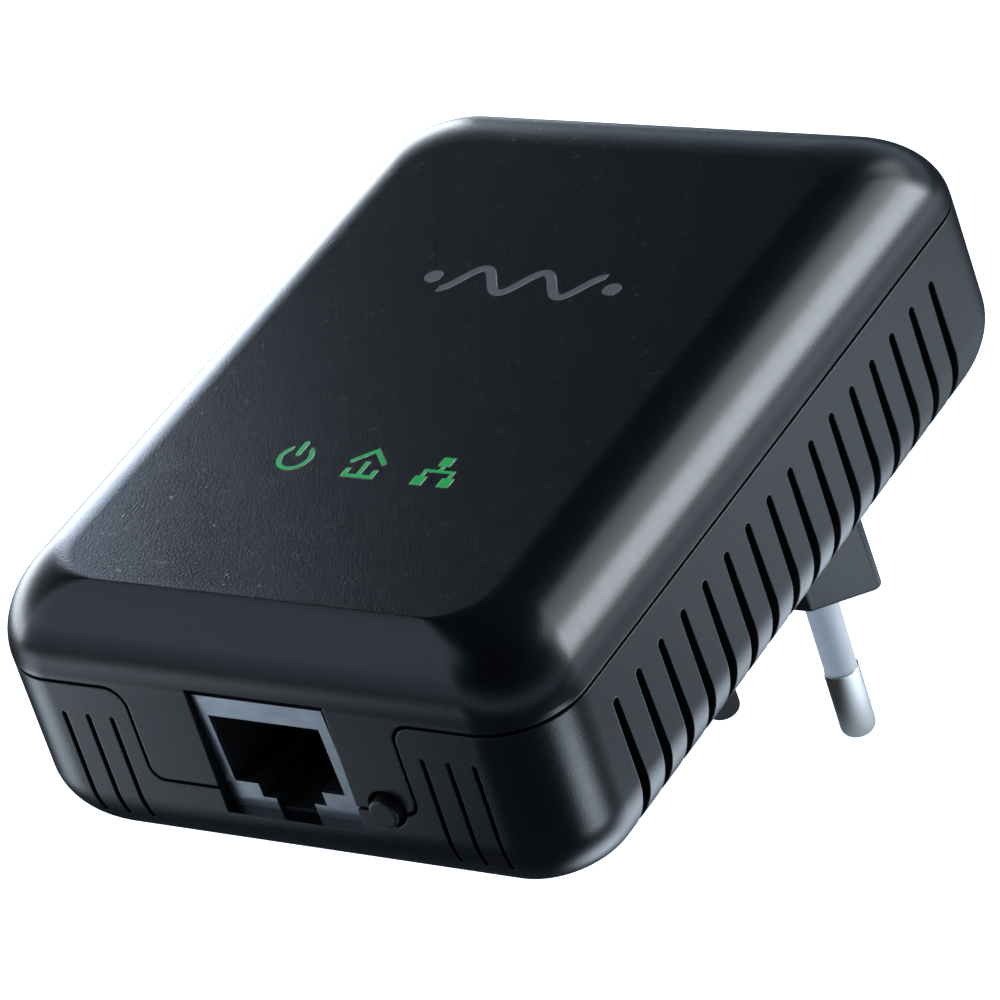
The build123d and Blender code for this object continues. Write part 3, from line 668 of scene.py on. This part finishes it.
def green_guide():
    """Tinted guide, glowing only at its front."""
    shader = Shader("symbol green")
    place = shader.node("ShaderNodeSeparateXYZ")
    shader.link(shader.place, place.inputs[0])
    glow = shader.between(place.outputs["Z"], 0, 0.3, (FRONT_Z - 1) * MM, (FRONT_Z - 0.9) * MM)
    shader.link(glow, shader.out.inputs["Emission Strength"])
    shader.colours(shader.between(shader.noise(900, 3), 0, 1), (0.004, 0.36, 0.06), (0.008, 0.46, 0.09))
    shader.roughness(shader.between(shader.noise(1500, 3), 0.3, 0.4))
    shader.bump((shader.noise(2500, 2), 0.000005), edge=0.00008)
    shader.set(Emission_Color=(0.004, 0.42, 0.075, 1))
    return shader.material


MATERIALS["icon_green"] = green_guide()

for name, node in NODES.items():
    slot = node.material_slots[0].material.name.split(".")[0]
    node.material_slots[0].material = MATERIALS[slot]
cover.data.materials.clear()
shell.data.materials.clear()
mark.data.materials.append(coated("mark grey", (0.13, 0.137, 0.145), (0.15, 0.157, 0.165), 0.5, 900))
cover.data.materials.append(MATERIALS["case_front"])
shell.data.materials.append(MATERIALS["case_rear"])


# ---- studio ------------------------------------------------------------------------------------------
MIDDLE = Vector((0, -29, 36))
COOL = (0.86, 0.93, 1.0)
BLUE = (0.68, 0.8, 1)
FLOOR_Z = CAD_BOX[0][2] / MM - 0.1
FLOOR_HALF = 4000
# x, y, radius and strength of each pool of light on the table
GLOW_POOLS = (
    (0, 0, 6000, 0.025),
    (-125, -120, 62, 3.8),
    (-66, -132, 50, 0.9),
    (-230, -240, 185, 2.8),
    (-330, 200, 260, 4),
    (95, 50, 110, 1.2),
    (300, 200, 280, 2.4),
    (116, -78, 42, 9.5),
    (48, -30, 40, 3.4),
    (34, 10, 38, 2.2),
    (38, -60, 26, 4),
)


def plane(name, z, material):
    """Large flat stage piece at height z."""
    bm = bmesh.new()
    bmesh.ops.create_grid(bm, x_segments=8, y_segments=8, size=FLOOR_HALF)
    bmesh.ops.translate(bm, vec=(0, 0, z), verts=bm.verts)
    mesh = mesh_from(bm, name)
    mesh.materials.append(material)
    made = bpy.data.objects.new(name, mesh)
    bpy.context.scene.collection.objects.link(made)
    return made


def make_floor():
    """Pale, softly glowing table just under the pin tips."""
    shader = Shader("pale floor")
    shader.colours(shader.between(shader.noise(2, 2), 0, 1), (0.86, 0.87, 0.88), (0.9, 0.9, 0.91))
    shader.roughness(shader.between(shader.noise(4, 2), 0.85, 0.95))
    shader.bump((shader.noise(300, 2), 0.00005))
    shader.set(Emission_Color=(0.68, 0.8, 1, 1), Emission_Strength=1.5, Specular_IOR_Level=0.0)
    floor = plane("floor", FLOOR_Z, shader.material)
    floor.visible_glossy = False
    floor.visible_diffuse = False


def softbox(name, place, target, width, height, power, colour):
    """Rectangular lamp at place (mm) facing target (mm)."""
    data = bpy.data.lights.new(name, "AREA")
    data.shape = "RECTANGLE"
    data.size, data.size_y = width * MM, height * MM
    data.energy = power
    data.color = colour
    lamp = bpy.data.objects.new(name, data)
    lamp.location = Vector(place) * MM
    lamp.rotation_mode = "QUATERNION"
    lamp.rotation_quaternion = (Vector(target) - Vector(place)).to_track_quat("-Z", "Y")
    bpy.context.scene.collection.objects.link(lamp)
    return lamp


def make_glow_card():
    """Table top as reflections see it: soft pools of light with dark between them."""
    shader = Shader("glow card")
    shader.colours(shader.between(shader.noise(3, 2), 0, 1), (0.02, 0.02, 0.02), (0.03, 0.03, 0.03))
    shader.roughness(shader.between(shader.noise(5, 2), 0.9, 1.0))
    shader.bump((shader.noise(300, 2), 0.00001))
    total = None
    for x, y, radius, strength in GLOW_POOLS:
        away = shader.node("ShaderNodeVectorMath", operation="DISTANCE")
        away.inputs[1].default_value = (x * MM, y * MM, FLOOR_Z * MM)
        shader.link(shader.place, away.inputs[0])
        pool = shader.between(away.outputs["Value"], strength, 0, 0, radius * MM)
        pool.node.interpolation_type = "SMOOTHERSTEP"
        if total:
            added = shader.node("ShaderNodeMath", operation="ADD")
            shader.link(total, added.inputs[0])
            shader.link(pool, added.inputs[1])
            pool = added.outputs[0]
        total = pool
    shader.link(total, shader.out.inputs["Emission Strength"])
    shader.set(Emission_Color=(0.74, 0.86, 1, 1), Specular_IOR_Level=0.0)
    card = plane("glow_card", FLOOR_Z + 0.4, shader.material)
    card.visible_camera = False
    card.visible_diffuse = False
    card.visible_shadow = False


def make_world():
    """Dim studio with a pale band near the horizon."""
    world = bpy.data.worlds.new("studio")
    world.use_nodes = True
    tree = world.node_tree
    background = tree.nodes["Background"]
    direction = tree.nodes.new("ShaderNodeTexCoord")
    height = tree.nodes.new("ShaderNodeSeparateXYZ")
    band = tree.nodes.new("ShaderNodeMapRange")
    band.interpolation_type = "SMOOTHSTEP"
    for key, number in (("From Min", 0.02), ("From Max", 0.42), ("To Min", 0.8), ("To Max", 0.02)):
        band.inputs[key].default_value = number
    tree.links.new(direction.outputs["Generated"], height.inputs[0])
    tree.links.new(height.outputs["Z"], band.inputs["Value"])
    tree.links.new(band.outputs["Result"], background.inputs["Strength"])
    background.inputs["Color"].default_value = (0.62, 0.78, 1.0, 1)
    bpy.context.scene.world = world


make_floor()
make_glow_card()
softbox("back right", (512, 406, 190), MIDDLE, 280, 280, 2.2, COOL)
softbox("back right wide", (540, 480, 360), MIDDLE, 480, 700, 2.6, COOL)
softbox("back", (180, 480, 300), MIDDLE, 420, 160, 0.46, COOL)
softbox("left near", (-328, 165, 178), (-40, -45, 52), 85, 180, 0.29, BLUE)
softbox("left low", (-430, 95, 45), (-30, -10, 45), 680, 140, 1.7, COOL)
softbox("front left", (-330, -300, 330), MIDDLE, 420, 420, 0.62, BLUE)
under = softbox("under fill", (0, -30, FLOOR_Z + 1), (0, -30, 50), 1500, 1500, 0.7, COOL)
under.visible_glossy = False
make_world()
bpy.context.scene.view_settings.view_transform = "Standard"
